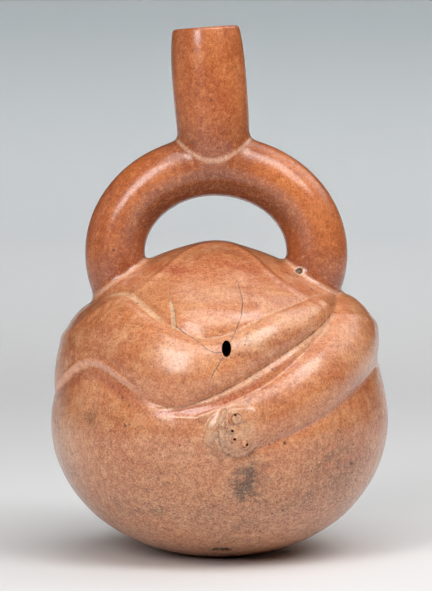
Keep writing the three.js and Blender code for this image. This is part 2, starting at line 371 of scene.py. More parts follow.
# %% The outside of the body
front_turns = graded(
    -180, 180, 391, lambda t: 0.34 + 0.66 * ease((112 - np.abs(t)) / 14) + 0.8 * swell(t, 5, 13)
)[:-1]
flat_radius = BELLY_RADIUS * (1 - (BELLY_HEIGHT / BOWL_DEPTH) ** BOWL_POWER) ** (1 / BOWL_POWER)
flat_lift = -np.degrees(np.arctan2(BELLY_HEIGHT, flat_radius))
relief_lifts = graded(
    flat_lift, 90, 184, lambda t: 0.44 + 0.56 * between(t, -20, 66, 10) + 0.6 * swell(t, 5, 12)
)
all_lifts = np.concatenate([[-90, (flat_lift - 90) / 2], relief_lifts])
body = shell("body", front_turns, all_lifts, body_ray)

# %% [markdown]
# ## The stirrup
#
# A clay tube bent over the hand: half of an oval arch that tucks in at both feet, with straight ends that
# go through the body's wall. A profile is carried along that path. Its radius isn't constant, because a
# hand-rolled tube is thicker at one foot than at the other.

# %% Sizes of the stirrup and its path
STIRRUP_X = -1.5
STIRRUP_Z = 128.0
ARCH_HALF_SPAN = 43.0
ARCH_RISE = 37.4
ARCH_TUCK = np.radians(24)
LEG_DEPTH = 14.0
TUBE_RADIUS = 12.8
TUBE_WALL = 4.0
LEG_SHARE = 0.1


def arch_path(t):
    """Centre line and its direction, for t from 0 at the left foot to 1 at the right one.

    On the arch: x = -half span * cos(angle), z = rise * sin(angle), and a straight run at each end.
    """
    sweep = np.pi + 2 * ARCH_TUCK
    along = np.clip((t - LEG_SHARE) / (1 - 2 * LEG_SHARE), 0, 1)
    angle = -ARCH_TUCK + sweep * along
    centre = np.stack(
        [STIRRUP_X - ARCH_HALF_SPAN * np.cos(angle), 0 * t, STIRRUP_Z + ARCH_RISE * np.sin(angle)], -1
    )
    forward = np.stack([ARCH_HALF_SPAN * np.sin(angle), 0 * t, ARCH_RISE * np.cos(angle)], -1)
    forward /= np.linalg.norm(forward, axis=-1, keepdims=True)
    overrun = np.maximum(LEG_SHARE - t, t - 1 + LEG_SHARE).clip(0) / LEG_SHARE * np.sign(t - 0.5)
    return centre + forward * (overrun * LEG_DEPTH)[:, None], forward


def tube(name, along, around, radius_at):
    """A profile circle carried along the arch: centre + radius * (cos a * outward + sin a * sideways)."""
    t = np.linspace(0, 1, along)
    centre, forward = arch_path(t)
    sideways = np.array([0, 1.0, 0])
    outward = np.cross(sideways, forward)
    a = np.linspace(0, 2 * np.pi, around, endpoint=False)[None, :, None]
    spoke = np.cos(a) * outward[:, None, :] + np.sin(a) * sideways
    radius = radius_at(t[:, None] + 0 * a[..., 0], centre[:, None, :] + spoke * TUBE_RADIUS)
    rings = centre[:, None, :] + spoke * radius[..., None]
    return capped(name, rings, centre[0], centre[-1])


def stirrup_radius(t, points):
    """The tube's radius: a little thicker towards the right foot, with slow waves."""
    return TUBE_RADIUS + 0.35 * (t - 0.4) + unevenness(points, 30, 8) * 0.22


stirrup = tube("stirrup", 190, 54, stirrup_radius)

# %% [markdown]
# ## The spout
#
# A straight-sided tube that swells slightly, leans a little to the left and has a rounded, uneven lip.
# Its profile is a curve through a few radii, turned round an axis that leans.

# %% Sizes of the spout
SPOUT_LEAN = np.radians(-4.2)
SPOUT_LENGTH = 58.7
SPOUT_WALL = 4.0
SPOUT_FOOT = np.array([STIRRUP_X - 0.2, 0, STIRRUP_Z + ARCH_RISE])
SPOUT_OUTSIDE = [
    (-5, 8.5), (0, 11.0), (3.2, 13.1), (6.5, 14.6), (10, 15.1), (14, 15.3), (22, 15.6), (34, 15.85),
    (44, 15.65), (52, 15.05), (56.8, 14.3), (SPOUT_LENGTH, 13.6),
]
LIP_ROUND = 1.7


def lean(points):
    """Turns points about Y by the spout's lean, and moves them to its foot."""
    x, y, z = points[..., 0], points[..., 1], points[..., 2]
    c, s = np.cos(SPOUT_LEAN), np.sin(SPOUT_LEAN)
    return np.stack([c * x + s * z, y, c * z - s * x], -1) + SPOUT_FOOT


def turned(name, heights, radii, around):
    """A profile turned round the leaning axis: (radius cos a, radius sin a, height)."""
    a = np.linspace(0, 2 * np.pi, around, endpoint=False)
    height = heights[:, None] + 0 * a
    radius = radii[:, None] + 0 * a
    rings = np.stack([radius * np.cos(a), radius * np.sin(a), height], -1)
    waves = unevenness(lean(rings), 34, 12) * 0.22 * (radius > 0.5)
    rings[..., :2] *= (1 + waves / np.maximum(radius, 1))[..., None]
    ends = lean(np.array([[0, 0, heights[0]], [0, 0, heights[-1]]]))
    return capped(name, lean(rings), ends[0], ends[1])


# %% The spout's outside, with its rounded lip
side_heights = np.linspace(-5, SPOUT_LENGTH - LIP_ROUND, 70)
side_radii = through(SPOUT_OUTSIDE, side_heights)
lip_angle = np.linspace(0, np.pi / 2, 9)[1:]
lip_heights = side_heights[-1] + LIP_ROUND * np.sin(lip_angle)
lip_radii = side_radii[-1] - LIP_ROUND * (1 - np.cos(lip_angle))
spout = turned(
    "spout", np.concatenate([side_heights, lip_heights]), np.concatenate([side_radii, lip_radii]), 80
)

# %% [markdown]
# ## The hollow
#
# The bottle is empty, and its hollow is one space: body, both legs, arch and spout. It is made as its own
# set of closed shapes, one wall inside the outside, joined and then cut away. Inside nothing was smoothed,
# so a coarser grid is enough.


# %% Inner surfaces
def inner_ray(turn, lift):
    """The outside without its unevenness, one wall further in."""
    return plain_ray(lift) + relief(turn, lift) - BODY_WALL


def bore_radius(t, points):
    """The stirrup's bore: one wall inside the tube's mean radius."""
    return TUBE_RADIUS - TUBE_WALL + 0 * t


inner_body = shell("inner_body", np.linspace(-180, 180, 73)[:-1], np.linspace(-90, 90, 37), inner_ray)
inner_tube = tube("inner_tube", 70, 28, bore_radius)
bore_heights = np.concatenate([np.linspace(0, 54, 28), [56.4, 58.2, SPOUT_LENGTH + 1]])
bore_radii = through(SPOUT_OUTSIDE, np.minimum(bore_heights, 52)) - SPOUT_WALL
bore_radii[-3:] += [0.25, 0.9, 2.4]
inner_spout = turned("inner_spout", bore_heights, bore_radii, 40)

# %% [markdown]
# ## Head, vent and chips
#
# The serpent's head is only suggested: small buttons of clay were pressed on, ringed with a reed and
# pricked with a stick. The oval vent let steam out in the firing. Pricks, vent and two old chips are all
# cut the same way: one chip is low on the front, and one is on the tube just above its right foot.


# %% Small shapes set on the body
def frame_at(turn, lift):
    """A point on the body and three directions there: to the right, up the body, and out of it."""
    out = direction_of(turn, lift)
    right = np.array([np.cos(np.radians(turn)), np.sin(np.radians(turn)), 0])
    up = np.cross(out, right)
    point = np.array([0, 0, BELLY_HEIGHT]) + out * body_ray(np.array([turn]), np.array([lift]))[0]
    return point, right, up, out


def button(name, turn, lift, radius, height, ring, ring_depth):
    """A round button of clay with a ring pressed into it.

    Its height over the body is height * (1 - s^4) less a bell for the ring, where s runs from 0 in the
    middle to 1 at the rim, and it carries on below the surface so that it joins the body.
    """
    point, right, up, out = frame_at(turn, lift)
    s = np.concatenate([np.linspace(0.04, 1, 26), [1.02, 1.0]])[:, None]
    a = np.linspace(0, 2 * np.pi, 48, endpoint=False)
    rise = height * (1 - s**4) - ring_depth * swell(s * radius, ring, 0.32) + 0 * a
    rise[-2:] = [[-0.8], [-2.0]]
    grid = point + (s * radius * np.cos(a))[..., None] * right + (s * radius * np.sin(a))[..., None] * up
    grid = grid + rise[..., None] * out
    return capped(name, grid[::-1], point - 2.0 * out, point + height * out)


buttons = [
    button("upper_eye", 5.3, 6.3, 3.0, 1.35, 2.25, 1.2),
    button("bridge", 3.9, 2.7, 1.7, 0.9, 1.15, 0.6),
    button("nostril", 4.6, 0.2, 1.6, 0.75, 1.1, 0.6),
    button("lower_eye", 7.7, -1.3, 2.3, 0.95, 1.45, 0.8),
]


# %% Cutters for the vent and the chips
def scoop(name, turn, lift, half_sizes, tilt=0.0, rough=0.0, pierce=False, raised=0.0):
    """An ellipsoid on the surface, turned in the surface by the tilt, for cutting a hole or a chip.

    A pierced hole runs level, straight in from the front, the way a stick was pushed. A raised one has
    its middle that far out of the surface.
    """
    point, right, up, out = frame_at(turn, lift)
    point = point + raised * out
    if pierce:
        right, up, out = np.eye(3)[[0, 2, 1]] * [[1], [1], [-1]]
    c, s = np.cos(np.radians(tilt)), np.sin(np.radians(tilt))
    axes = np.array([c * right + s * up, c * up - s * right, out]) * np.array(half_sizes)[:, None]
    around, rise = np.linspace(0, 2 * np.pi, 24, endpoint=False), np.linspace(-90, 90, 15)[1:-1, None]
    ball = direction_of(np.degrees(around), rise)
    ball = ball * (1 + rough * unevenness(ball * 10, 9, 21))[..., None]
    ends = point + np.array([[0, 0, -1.0], [0, 0, 1.0]]) @ axes
    return capped(name, point + ball @ axes, ends[0], ends[1])


PRICKS = [(4.9, 7.6, 0.55), (3.9, 2.8, 0.6), (4.6, 0.2, 0.6), (8.5, -1.6, 0.65)]
FOOT_CHIP, FOOT_CHIP_RAISED = (71.0, 61.0), 0.9
vent = scoop("vent", 2.3, 28.0, (1.95, 3.35, 14.0), pierce=True)
base_chip = scoop("base_chip", 1.4, -54.2, (4.3, 3.4, 3.8), -9, 0.12)
foot_chip = scoop("foot_chip", *FOOT_CHIP, (1.3, 1.1, 1.5), 30, 0.3, raised=FOOT_CHIP_RAISED)
pricks = [scoop("prick", turn, lift, (size, size, 1.5), 0, 0.1, raised=0.5) for turn, lift, size in PRICKS]

# %% [markdown]
# ## One piece of clay
#
# The parts are joined with the Boolean modifier and its Manifold solver, which keeps the result closed.
# The join gives sharp inner corners. A potter wipes a roll of soft clay into them with a finger, and here
# the points near a join are moved out to a smooth blend of the two surfaces.


# %% Join and cut
def combine(base, others, operation):
    """Adds or cuts closed meshes, one Boolean modifier each, and keeps the result as the base's mesh."""
    for other in others:
        step = base.modifiers.new(operation, "BOOLEAN")
        step.operation, step.object, step.solver = operation, other, "MANIFOLD"
    seen = base.evaluated_get(bpy.context.evaluated_depsgraph_get())
    mesh = bpy.data.meshes.new_from_object(seen)
    base.modifiers.clear()
    base.data = mesh
    for other in others:
        bpy.data.objects.remove(other)
    print(base.name, "after", operation, len(mesh.vertices), "points")
    return base


vessel = combine(body, [stirrup, spout] + buttons, "UNION")
hollow = combine(inner_body, [inner_tube, inner_spout], "UNION")
vessel = combine(vessel, [hollow, vent, base_chip, foot_chip] + pricks, "DIFFERENCE")
vessel.name = "vessel_body"


# %% Points of the joined mesh as arrays
def points_of(obj):
    """All the object's points, in millimetres, one row each."""
    flat = np.empty(len(obj.data.vertices) * 3, np.float32)
    obj.data.vertices.foreach_get("co", flat)
    return flat.reshape(-1, 3).astype(float) * 1000


def body_distance(points):
    """Millimetres outside the body's surface: distance from the centre less the ray length there."""
    v = points - [0, 0, BELLY_HEIGHT]
    far = np.linalg.norm(v, axis=1)
    lift = np.degrees(np.arcsin(np.clip(v[:, 2] / np.maximum(far, 1e-6), -1, 1)))
    turn = np.degrees(np.arctan2(v[:, 0], -v[:, 1]))
    return far - body_ray(turn, lift), turn, lift


def arch_distance(points):
    """Millimetres outside the stirrup tube: distance to the nearest of many places on its path."""
    centre, _ = arch_path(np.linspace(0, 1, 400))
    near = np.full(len(points), 1e9)
    for place in centre:
        near = np.minimum(near, ((points - place) ** 2).sum(1))
    return np.sqrt(near) - TUBE_RADIUS


# The mask for the painted shade on the stirrup's underside.
def shade_under_arch(points):
    """1 on the stirrup's underside: how far the oval through a point is smaller than the path's own.

    An oval through (x, z) has the size sqrt((x / half span)^2 + (z / rise)^2), and the path's is 1.
    """
    x, z = points[:, 0] - STIRRUP_X, points[:, 2] - STIRRUP_Z
    return ease((1.06 - np.hypot(x / ARCH_HALF_SPAN, z / ARCH_RISE)) / 0.3) * ease(z / 20)


def spout_distance(points):
    """Millimetres outside the spout: distance from its leaning axis less its radius at that height."""
    v = points - SPOUT_FOOT
    c, s = np.cos(SPOUT_LEAN), np.sin(SPOUT_LEAN)
    height, across = c * v[:, 2] + s * v[:, 0], c * v[:, 0] - s * v[:, 2]
    side = np.hypot(across, v[:, 1]) - through(SPOUT_OUTSIDE, np.clip(height, -5, SPOUT_LENGTH))
    return np.where(height < -5, 20.0, side)


# %% Fill the joins
FOOT_FILL, SPOUT_FILL = 4.0, 3.6
SMALL_STEP = 0.05  # millimetres to each side, to measure a slope


def wiped(points):
    """Height over a smooth blend of body, stirrup and spout: the least distance, less the fill.

    Where two distances a and b are nearly equal, the fill is (reach - |a - b|)^2 / (4 reach).
    """
    body, arch, spout = body_distance(points)[0], arch_distance(points), spout_distance(points)
    at_foot = np.clip(FOOT_FILL - np.abs(body - arch), 0, None) ** 2 / (4 * FOOT_FILL)
    at_spout = np.clip(SPOUT_FILL - np.abs(spout - arch), 0, None) ** 2 / (4 * SPOUT_FILL)
    least = np.minimum.reduce([body, arch, spout])
    return least - at_foot - at_spout, least


points = points_of(vessel)
height_now, least = wiped(points)
near = np.flatnonzero((height_now < least - 0.002) & (np.abs(least) < 1.2))
moving, target = points[near], least[near]
for _ in range(4):
    value = wiped(moving)[0]
    rise = [wiped(moving + step)[0] - wiped(moving - step)[0] for step in SMALL_STEP * np.eye(3)]
    slope = np.stack(rise, -1) / (2 * SMALL_STEP)
    moving = moving - slope * ((value - target) / (slope**2).sum(1).clip(0.2))[:, None]
points[near] = moving
print("filled at the joins", len(near), "points")


# %% Even out the mesh along the joins
def soften(obj, points, weight, rounds):
    """Draws each point towards the mean of its neighbours by its weight, a number of times."""
    edges = np.empty(len(obj.data.edges) * 2, np.int32)
    obj.data.edges.foreach_get("vertices", edges)
    a, b = edges.reshape(-1, 2).T
    neighbours = np.bincount(np.concatenate([a, b]), minlength=len(points))[:, None]
    for _ in range(rounds):
        total = np.zeros_like(points)
        for axis in range(3):
            total[:, axis] = np.bincount(a, points[b, axis], len(points))
            total[:, axis] += np.bincount(b, points[a, axis], len(points))
        points = points + (total / neighbours - points) * weight[:, None]
    obj.data.vertices.foreach_set("co", (points * 0.001).astype(np.float32).ravel())
    obj.data.update()


weight = np.zeros(len(points))
weight[near] = 0.5 * ease((least[near] - wiped(points_of(vessel)[near])[0]) / 0.4)
soften(vessel, points, weight, 6)

# %% [markdown]
# ## What the surface remembers
#
# The finish needs to know where things are: how far each point is from a crease, a crack or a join. Those
# distances are stored on the mesh as attributes. A signed distance changes evenly across its line, so the
# material can draw a line much finer than the mesh.


# %% Lines and spots, each place as turn and lift
CRACKS = [
    [(-17, 36.5), (-13.3, 34.2), (-10, 32.5), (-7, 30.2), (-4.4, 28), (-1.8, 26.8), (0.8, 27)],
    [(10.8, 56), (10.3, 46), (8.6, 39.5), (6.3, 35.6), (4, 31)],
    [(0.8, 24.8), (-2.2, 20.3), (-2.8, 18.6)],
]
SCAR = [(-22, 45), (-19.7, 41.5), (-18.3, 37.4)]
SPOTS = {
    "red_slip": [(-34, 62.6, 15, 2.4, 1.0), (-4, 67.5, 28, 1.8, 0.6), (30, 66, 30, 5, 0.3),
                 (26, 24, 5, 3.4, 0.8), (-38, 21, 12, 4, 0.3), (44, 24, 18, 4, 0.3),
                 (70, 33, 14, 4, 0.4), (150, 60, 40, 8, 0.6), (210, 30, 40, 5, 0.5)],
    "smoke": [(9.5, -11, 4.5, 5, 1.0), (8, -17, 5, 5, 0.9), (11, -22, 6, 4, 0.8), (16, -15, 5, 4, 0.5),
              (-5, -28, 6, 4, 0.6), (11, -34, 8, 5, 0.45), (-25, -27, 4, 3, 0.8), (-41, -27, 7, 4, 0.5),
              (39, -5, 8, 6, 0.5), (48, -14, 12, 10, 0.55), (31, -23, 8, 5, 0.4), (-49, 5, 6, 4, 0.5),
              (-66, -10, 10, 14, 0.4), (76, 22, 9, 12, 0.35), (170, -20, 50, 22, 0.7),
              (250, -25, 20, 15, 0.5)],
    "painted_shade": [(-6, 15, 14, 5, 0.45), (-13, -4, 18, 11, 0.35), (20, 12, 10, 7, 0.55), (50, -8, 18, 12, 0.4)],
    "dust_and_sheen": [(28, 37, 12, 5, 0.6), (12, 29, 9, 4, 0.5), (56, 25, 14, 5, 0.4), (-2, 50, 16, 6, 0.5),
              (-15, 24, 9, 5, 0.5), (31, 23, 8, 4, 0.4), (-62, -6, 12, 12, 0.4)],
    "buff": [(4.5, 4, 7.5, 8.5, 1.0), (-2, 3, 3, 6, 0.7), (12, 30.5, 8, 3.4, 0.8), (-50, 46, 10, 3, 0.3),
             (-15, -5, 10, 4, 0.25)],
    "flaky": [(-0.5, -0.5, 2.6, 4.5, 1.0), (2.5, 3, 1.6, 5, 0.6)],
    "orange": [(12, 25.6, 5, 1.8, 0.9), (20, 29.4, 6, 1.8, 1.0), (30, 33, 6, 1.8, 0.8), (58, 15, 7, 3.4, 0.8),
               (-16, 19, 9, 4.5, 0.4), (45, 16, 14, 3.5, 0.35)],
}


def patches(turn, lift, spots):
    """A soft mask: the sum of bells, each given as (turn, lift, half width, half height, strength)."""
    total = np.zeros_like(turn)
    for at_turn, at_lift, wide, high, strength in spots:
        apart = np.mod(turn - at_turn + 180, 360) - 180
        total += strength * swell(apart, 0, wide) * swell(lift, at_lift, high)
    return total


def store(name, values):
    """Keeps one number for each point of the vessel under a name that a material can read."""
    held = vessel.data.attributes.new(name, "FLOAT", "POINT")
    held.data.foreach_set("value", np.asarray(values, np.float32))


# %% Where each point is
points = points_of(vessel)
out_of_body, turn, lift = body_distance(points)
out_of_arch, out_of_spout = arch_distance(points), spout_distance(points)
front, second = np.mod(turn + 180, 360) - 180, np.mod(turn + 180, 360) + 180
on_body = np.where(points[:, 2] < 100, 1.0, ease(1.3 - out_of_body))
store("on_body", on_body)
store("foot_seam", np.maximum(np.abs(out_of_body), np.abs(out_of_arch)))
store("spout_seam", np.maximum(np.abs(out_of_spout), np.abs(out_of_arch)))
store("shade_under_arch", shade_under_arch(points) * (1 - on_body))
for name, spots in SPOTS.items():
    store(name, patches(turn, lift, spots) * on_body)

# %% Lines of the coil
crown_line, fold_line = edge_distance(second, lift, 2), edge_distance(second, lift, 1)
band_top, band_foot = line_distance(front, lift, BAND_TOP), line_distance(front, lift, BAND_FOOT)
store("crown_line", crown_line)
store("crown_wide", between(front, -72, -20, 8) * on_body)
store("crown_thin", between(front, -26, 64, 8) * on_body)
store("fold_line", fold_line)
store("fold_here", between(front, -22, 58, 6) * on_body)
store("fold", ease(0.5 - fold_line / 2.2) * ease(0.5 + band_top / 2.6) * between(front, -14, 60, 8) * on_body)
store("band_top", band_top)
store("band_foot", band_foot)
store("band_here", between(front, -26, 18, 5) * on_body)
store("lip_here", between(front, -86, -22, 12) * on_body)
store("face_edge", line_distance(front, lift, FACE_EDGE))
store("head_low", edge_distance(front, lift, 1))
store("head_low_here", between(front, 10, 88, 16) * on_body)

# %% Cracks, pricks, chips and the inside
cracks = np.stack([line_distance(turn, lift, line) for line in CRACKS])
store("crack", np.take_along_axis(cracks, np.abs(cracks).argmin(0)[None], 0)[0])
store("scar", line_distance(turn, lift, SCAR))
from_prick = [np.hypot(front - side, lift - rise) * ARC / size for side, rise, size in PRICKS]
store("prick", np.minimum.reduce(from_prick))
below = ease((-out_of_body - 0.25) / 0.5) * (out_of_body > -4.4)
store("in_chip", below * (lift < -40))
chip_point, _, _, chip_out = frame_at(*FOOT_CHIP)
store("from_foot_chip", np.linalg.norm(points - chip_point - FOOT_CHIP_RAISED * chip_out, axis=1))
inside = (out_of_body < -4.0) & (points[:, 2] < 120) | (out_of_arch < -3) & (out_of_spout > -3)
store("inside", inside | (out_of_spout < -3.2) & (out_of_arch > -3))
print("stored", [held.name for held in vessel.data.attributes])

# %% [markdown]
# ## The finish
#
# Burnished slip isn't one colour. Iron in it fired orange where air was plentiful and greyer low on the
# body where it wasn't, salt and lime came out pale in the creases, and thousands of dark grains show. One
# material carries all of it, built in layers from large to small, each a colour, a mask and a mix. It also
# carries painted light: shade under the arch, the rolls and the joins, shade in the holes, highlights on
# the lip and the face's rim, and a sheen on the upper body. The small helpers keep every layer to a line or
# two.

# %% Helpers for nodes
material = bpy.data.materials.new("burnished_clay")
material.use_nodes = True
tree = material.node_tree
tree.nodes.clear()


def node(kind, inputs=None, **settings):
    """A new shader node with its settings and inputs; an input that is a socket is linked."""
    made = tree.nodes.new("ShaderNode" + kind)
    for key, value in settings.items():
        setattr(made, key, value)
    for key, value in (inputs or {}).items():
        if isinstance(value, bpy.types.NodeSocket):
            tree.links.new(value, made.inputs[key])
        else:
            made.inputs[key].default_value = value
    return made


def maths(operation, a, b=0.0, c=0.0):
    """One step of arithmetic on numbers or sockets."""
    return node("Math", {0: a, 1: b, 2: c}, operation=operation).outputs[0]


def spread(value, start, stop, low=0.0, high=1.0):
    """A smooth step of a value: low before start, high after stop."""
    inputs = {"Value": value, "From Min": start, "From Max": stop, "To Min": low, "To Max": high}
    return node("MapRange", inputs, interpolation_type="SMOOTHSTEP").outputs[0]


def stored(name):
    """A number stored on the mesh."""
    return node("Attribute", attribute_name=name).outputs["Fac"]


def noise(size, detail=3.0, roughness=0.55, stretch=None):
    """Smooth noise whose grains are about the given size, in millimetres."""
    place = object_place
    if stretch:
        place = node("Mapping", {"Vector": place, "Scale": stretch}).outputs[0]
    inputs = {"Vector": place, "Scale": 1000 / size, "Detail": detail, "Roughness": roughness}
    return node("TexNoise", inputs).outputs["Fac"]


def srgb(red, green, blue):
    """A colour given as 0 to 255 on screen, as the linear light that Blender works in."""
    c = np.array([red, green, blue]) / 255
    return tuple(np.where(c <= 0.04045, c / 12.92, ((c + 0.055) / 1.055) ** 2.4).tolist())


def layer(under, over, mask):
    """Puts one colour over another where the mask says; a colour is a socket or three numbers to 255."""
    made = node("Mix", {0: mask}, data_type="RGBA")
    for number, colour in ((6, under), (7, over)):
        if isinstance(colour, bpy.types.NodeSocket):
            tree.links.new(colour, made.inputs[number])
        else:
            made.inputs[number].default_value = (*srgb(*colour), 1.0)
    return made.outputs[2]


object_place = node("TexCoord").outputs["Object"]
height = node("SeparateXYZ", {0: object_place}).outputs["Z"]


def times(*values):
    """The product of several numbers or sockets."""
    product = values[0]
    for value in values[1:]:
        product = maths("MULTIPLY", product, value)
    return product


def plus(*values):
    """The sum of several numbers or sockets."""
    total = values[0]
    for value in values[1:]:
        total = maths("ADD", total, value)
    return total


def line(distance, start, stop):
    """1 on a line, fading out between two distances from it, in millimetres."""
    return spread(maths("ABSOLUTE", distance), start, stop, 1, 0)


def dots(size, share, small, large):
    """Round dots, one in each cell of a random pattern, in a share of the cells."""
    inputs = {"Vector": object_place, "Scale": 1000 / size, "Randomness": 1.0}
    cells = node("TexVoronoi", inputs)
    chance = node("SeparateColor", {0: cells.outputs["Color"]}).outputs
    here = spread(chance[0], 1 - share, 1 - share + 0.05)
    reach = plus(small, times(chance[1], large - small))
    return times(here, spread(maths("DIVIDE", cells.outputs["Distance"], reach), 0.6, 1.1, 1, 0))


# %% The ground colour of the slip
# Large clouds from the fire, wear and mottle of a middle size, and long strokes left by the pebble.
on_body_mask = stored("on_body")
clouds = spread(noise(36, 3), 0.34, 0.66)
tube_clay = layer((204, 112, 58), (176, 88, 44), clouds)
body_clay = layer((220, 138, 88), (196, 110, 64), clouds)
coats = [layer(tube_clay, body_clay, on_body_mask)]


def paint(colour, mask):
    """One more coat over the coats so far, where the mask says."""
    coats.append(layer(coats[-1], colour, mask))


worn = layer((216, 130, 76), (230, 164, 114), on_body_mask)
paint(worn, spread(noise(12, 5, 0.65), 0.44, 0.68, 0, 0.6))
paint((168, 84, 50), spread(noise(8, 5, 0.65), 0.5, 0.78, 0, 0.55))
mottle = noise(5.5, 5, 0.7)
paint((190, 98, 58), times(spread(mottle, 0.5, 0.66, 0, 0.4), on_body_mask))
paint((240, 178, 136), times(spread(mottle, 0.48, 0.34, 0, 0.4), on_body_mask))
strokes = noise(5, 4, 0.7, stretch=(0.22, 0.22, 1.7))
paint((180, 90, 54), times(spread(strokes, 0.52, 0.7, 0, 0.4), on_body_mask))
paint((234, 172, 124), times(spread(strokes, 0.46, 0.3, 0, 0.35), on_body_mask))
print("ground colour:", len(coats), "coats")

# %% The lower bowl, worn and greyer
low_down = spread(plus(height, times(noise(26, 4), 0.03)), 0.03, 0.09, 1, 0)
paint((190, 132, 98), times(low_down, spread(noise(14, 4), 0.3, 0.6, 0.5, 0.9)))
paint((200, 124, 82), times(low_down, spread(noise(9, 4, 0.6), 0.52, 0.68, 0, 0.55)))
smoke_noise = spread(noise(5, 6, 0.72), 0.38, 0.6)
paint((84, 58, 44), times(stored("smoke"), smoke_noise, 0.95))
specks = noise(3.2, 5, 0.72)
soot = spread(specks, 0.54, 0.66, 0, 0.75)
paint((216, 158, 120), times(low_down, spread(specks, 0.46, 0.34, 0, 0.45)))
paint((120, 82, 62), times(low_down, soot, spread(noise(20, 3), 0.4, 0.6, 0.35, 1.0)))
print("lower bowl:", len(coats), "coats")

# %% Red slip, pale buff, dust with a painted sheen, and painted shade in brown and dark orange
red = times(stored("red_slip"), spread(noise(7, 5, 0.65, stretch=(0.4, 0.4, 1.4)), 0.3, 0.62))
paint((184, 80, 54), times(red, 0.85))
# Pale dust on the upper body, and with it a painted sheen where the upper body faces the lamps.
paint((246, 194, 156), times(stored("dust_and_sheen"), spread(mottle, 0.3, 0.6, 0.5, 1.0)))
# Painted shade on the lower front of the coil and the bowl, which face down and away from the lamps.
paint((172, 98, 62), times(stored("painted_shade"), spread(mottle, 0.35, 0.6, 0.5, 0.9)))
paint((216, 174, 140), times(stored("buff"), spread(noise(4, 5, 0.65), 0.25, 0.6, 0, 0.85)))
# Dark orange painted shade along the steep undersides of the coil's rolls, right of the vent and low on the
# left.
paint((178, 94, 54), times(stored("orange"), spread(noise(6, 4, 0.6), 0.2, 0.6, 0.4, 0.95)))
print("slip and buff:", len(coats), "coats")

# %% Lime and wear along the lines of the coil
ragged = times(maths("SUBTRACT", noise(2.2, 5, 0.7), 0.5), 2.4)


def wandering(name, by):
    """A stored distance whose line strays by about that many millimetres."""
    return plus(stored(name), times(ragged, by))


patchy = spread(noise(4.5, 5, 0.7), 0.3, 0.6)
crown_line = wandering("crown_line", 0.5)
crown_lime = times(line(crown_line, 0.8, 1.8), stored("crown_wide"), spread(patchy, 0, 1, 0.55, 1.0))
crown_lime = maths("MAXIMUM", crown_lime, times(line(crown_line, 0.15, 0.6), stored("crown_thin"), 0.75))
paint((234, 188, 146), times(crown_lime, 0.85))
fold = times(stored("fold"), spread(patchy, 0, 1, 0.2, 1.0))
paint((222, 170, 132), times(fold, 0.65))
fold_line = wandering("fold_line", 0.35)
fold_dark = times(line(fold_line, 0.12, 0.5), stored("fold_here"), spread(noise(6, 4, 0.7), 0.42, 0.52))
paint((142, 92, 58), times(fold_dark, 0.8))
band_top, band_foot, band_here = stored("band_top"), stored("band_foot"), stored("band_here")
in_band = times(spread(band_top, 0.3, -1.4), spread(band_foot, -0.3, 1.4), band_here)
paint((194, 104, 72), times(in_band, spread(patchy, 0, 1, 0.3, 0.85)))
ridges = times(maths("MAXIMUM", line(plus(band_top, times(ragged, 0.3)), 0.3, 0.8),
                     line(plus(band_foot, times(ragged, 0.3)), 0.3, 0.8)), band_here)
paint((232, 176, 138), times(ridges, 0.45))
lip_line, lip_here = stored("fold_line"), stored("lip_here")  # the lip is that edge, further left
# A painted highlight along the top of the lip's ridge.
lip_highlight = times(line(plus(lip_line, -0.4, times(ragged, 0.3)), 0.8, 2.0), lip_here)
paint((238, 166, 130), times(lip_highlight, 0.75))
# Painted shade in the hollow under the lip.
lip_shade = times(line(plus(lip_line, 4.0, times(ragged, 0.4)), 1.0, 3.2), lip_here)
paint((176, 88, 62), times(lip_shade, 0.55))
head_low = wandering("head_low", 0.5)
paint((206, 146, 126), times(line(head_low, 0.5, 1.8), stored("head_low_here"), 0.55))

face_edge = wandering("face_edge", 0.4)
# A painted highlight on the low rim round the face, and painted shade in the groove outside it.
paint((224, 186, 152), times(line(plus(face_edge, -0.7), 0.3, 0.9), patchy, 0.5))
paint((140, 94, 70), times(line(plus(face_edge, 0.7), 0.15, 0.6), patchy, 0.6))
print("lines of the coil:", len(coats), "coats")

# %% Wiped joins at the feet and under the spout, with painted shade near them and under the arch
foot = wandering("foot_seam", 0.5)
under_spout = wandering("spout_seam", 0.4)
off_body = maths("SUBTRACT", 1.0, on_body_mask)
# Painted shade on the tube near its feet and round the foot of the spout, where the parts meet.
paint((146, 72, 42), times(spread(foot, 3, 22, 1, 0), off_body, 0.7))
paint((142, 70, 38), times(spread(under_spout, 2, 18, 1, 0), 0.65))
# Painted shade on the underside of the arch, which the lamps above don't reach.
paint((98, 44, 24), times(stored("shade_under_arch"), 0.85))
paint((232, 176, 142), spread(foot, 1.0, 2.6, 0.85, 0))
paint((234, 186, 156), spread(under_spout, 0.7, 1.9, 0.8, 0))
print("joins:", len(coats), "coats")

# %% Cracks, the scar, pricks and chips
crack = wandering("crack", 0.12)
crack_line = times(line(crack, 0.06, 0.34), on_body_mask, spread(noise(5, 3), 0.3, 0.5, 0.45, 1.0))
crack_sides = times(line(crack, 0.4, 1.1), on_body_mask)
scar = times(line(wandering("scar", 0.15), 0.6, 1.15), on_body_mask)
paint((228, 180, 146), times(crack_sides, 0.22))
paint((110, 70, 54), times(crack_line, 0.75))
paint((226, 184, 146), times(scar, 0.9))
# Painted shade: the pricks, the chip low on the front and the foot chip are painted nearly black inside.
paint((60, 30, 22), spread(stored("prick"), 0.6, 1.15, 0.95, 0))
paint((30, 20, 16), times(stored("in_chip"), 0.97))
from_chip = wandering("from_foot_chip", 0.2)
paint((226, 190, 160), spread(from_chip, 2.2, 2.9, 0.7, 0))
paint((44, 28, 22), spread(from_chip, 1.45, 1.85, 0.95, 0))
paint((120, 72, 52), times(stored("inside"), 0.8))
print("cracks and chips:", len(coats), "coats")

